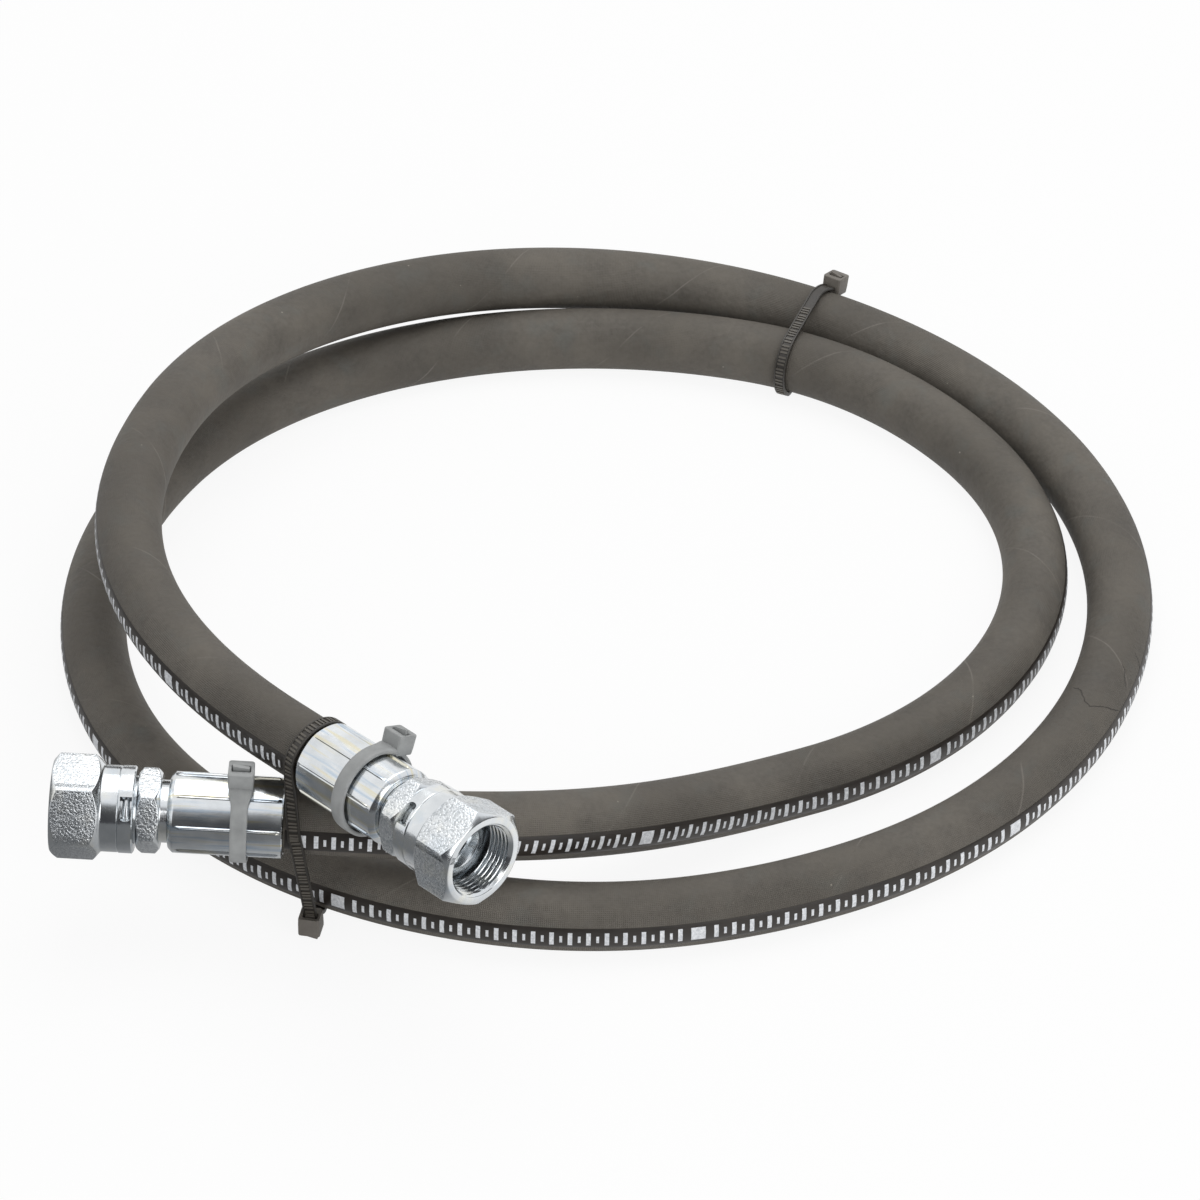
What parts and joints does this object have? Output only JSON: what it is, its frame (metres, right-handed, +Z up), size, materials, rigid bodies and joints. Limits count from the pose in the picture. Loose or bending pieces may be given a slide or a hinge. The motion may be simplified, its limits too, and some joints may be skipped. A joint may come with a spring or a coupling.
{
  "type": "hydraulic hose assembly",
  "caption": "Coiled wire-braided hydraulic hose with crimped ferrules and female threaded swivel nuts on both ends, held by cable ties.",
  "frame": {"origin": "middle of the footprint at the surface that the coil rests on", "axes": "+Z up, the lower fitting's nut points along -X and the upper fitting's nut points along +X and -Y"},
  "size_m": [0.3346, 0.364, 0.0805],
  "materials": {
    "cover_rubber": "matt wrapped synthetic rubber with a fine cloth imprint",
    "lining_rubber": "smooth black nitrile rubber",
    "strip_rubber": "smooth black strip with pale tick marks",
    "bright_wire": "high-tensile steel wire",
    "seal_rubber": "black O-ring rubber",
    "grey_nylon": "grey moulded nylon",
    "black_nylon": "black-brown moulded nylon",
    "zinc_plate": "bright zinc-plated steel"
  },
  "bodies": {
    "hose": {"cover": "cover_rubber", "outer_braid": "bright_wire", "insulation_layer": "lining_rubber", "inner_braid": "bright_wire", "inner_tube": "lining_rubber", "layline_strip": "strip_rubber", "ferrule_a": "zinc_plate", "ferrule_b": "zinc_plate", "hose_tail_a": "zinc_plate", "hose_tail_b": "zinc_plate", "retaining_wire_a": "bright_wire", "retaining_wire_b": "bright_wire", "o_ring_a": "seal_rubber", "o_ring_b": "seal_rubber", "marker_tie_a": "grey_nylon", "marker_tie_b": "grey_nylon", "front_bundle_tie": "black_nylon", "back_bundle_tie": "black_nylon"},
    "nut_a": {"swivel_nut_a": "zinc_plate"},
    "nut_b": {"swivel_nut_b": "zinc_plate"}
  },
  "joints": [
    {"name": "nut_a_spin", "type": "hinge", "parent": "hose", "child": "nut_a", "pos_m": [-0.14721, -0.12107, 0.04036], "axis": [-0.9983, 0.0261, 0.0523], "continuous": true},
    {"name": "nut_b_spin", "type": "hinge", "parent": "hose", "child": "nut_b", "pos_m": [-0.04306, -0.16434, 0.06431], "axis": [0.6803, -0.7296, 0.0698], "continuous": true}
  ]
}
